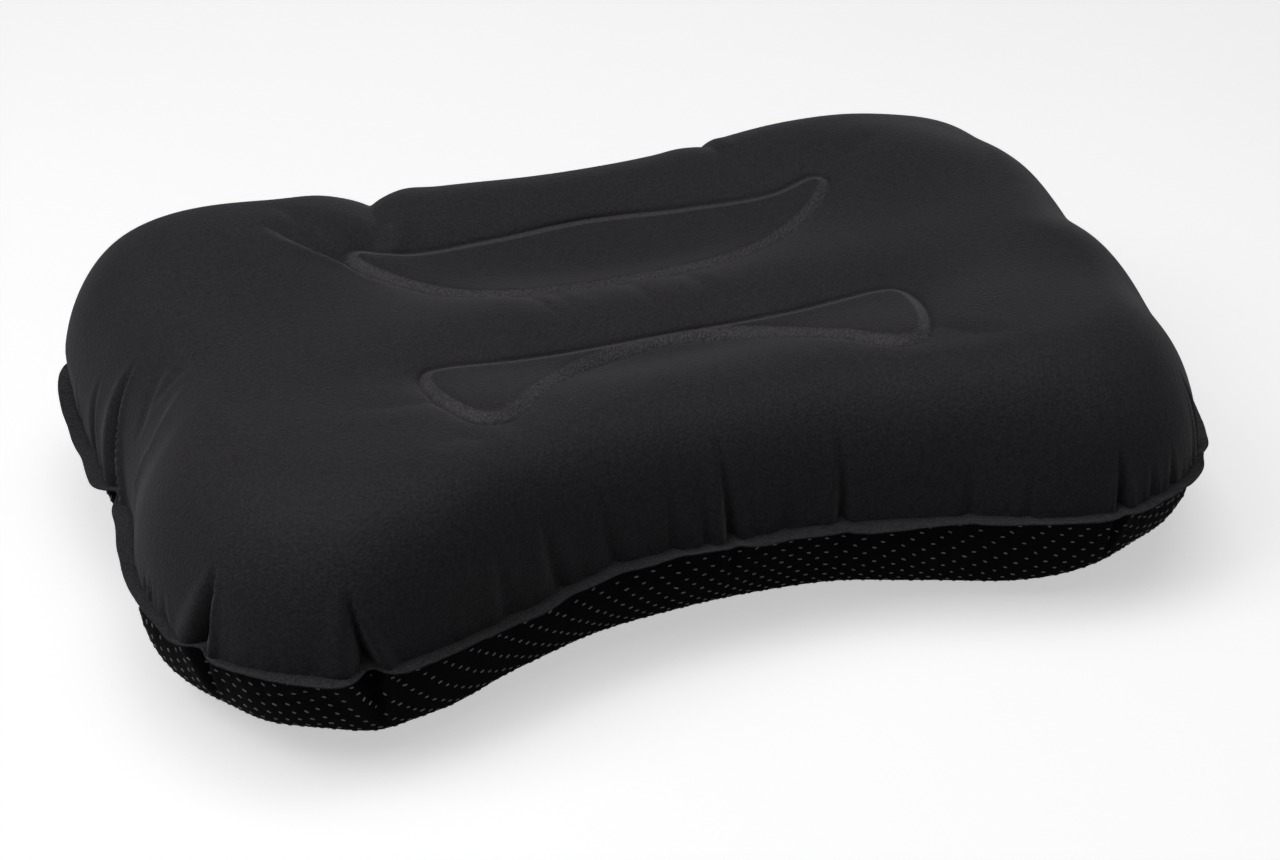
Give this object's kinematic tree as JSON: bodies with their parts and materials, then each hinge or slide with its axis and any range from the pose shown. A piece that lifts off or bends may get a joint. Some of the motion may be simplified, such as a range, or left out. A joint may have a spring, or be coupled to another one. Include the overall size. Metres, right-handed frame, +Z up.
{
  "type": "inflatable camp pillow",
  "caption": "Inflatable camp pillow of two welded fabric panels with a cupped front edge, raised corner lobes, internal tie webs and a tethered air valve under the rear edge.",
  "frame": {"origin": "middle of the overall width and depth, on the rest plane", "axes": "+X along the long side, +Y towards the rear edge (the front edge is the cupped one at -Y), +Z up"},
  "size_m": [0.452, 0.289, 0.1142],
  "materials": {
    "top_fabric": "brushed stretch knit laminate, matte, fine pebbled grain",
    "base_fabric": "plain woven, matte, with raised silicone grip dots",
    "tie_film": "translucent coated film",
    "valve_moulding": "soft satin moulding",
    "cap_moulding": "soft satin moulding",
    "seal_silicone": "smooth silicone",
    "button_plastic": "fine satin",
    "spring_wire": "drawn wire"
  },
  "bodies": {
    "shell": {"top_panel": "top_fabric", "bottom_panel": "base_fabric", "front_tie": "tie_film", "rear_tie": "tie_film", "valve_patch": "tie_film", "valve_flange": "valve_moulding", "plug_tether": "valve_moulding"},
    "dump": {"dump_plug": "valve_moulding", "plug_seal": "seal_silicone", "cap_tether": "cap_moulding", "button_spring": "spring_wire"},
    "release": {"release_button": "button_plastic", "check_flap": "seal_silicone", "stem_clip": "button_plastic"},
    "cap": {"valve_cap": "cap_moulding"}
  },
  "joints": [
    {"name": "dump_hinge", "type": "hinge", "parent": "shell", "child": "dump", "pos_m": [0.1155, 0.1346, 0.02325], "axis": [0, -0.4384, -0.8988], "range_deg": [0, 105], "deforming": ["plug_tether"]},
    {"name": "cap_hinge", "type": "hinge", "parent": "dump", "child": "cap", "pos_m": [0.085, 0.13864, 0.02127], "axis": [0, 0.4384, 0.8988], "range_deg": [0, 160], "deforming": ["cap_tether"]},
    {"name": "button_press", "type": "slide", "parent": "dump", "child": "release", "axis": [0, -0.8988, 0.4384], "range_m": [0, 0.0018], "stiffness_N_per_m": 250, "deforming": ["button_spring"]}
  ]
}
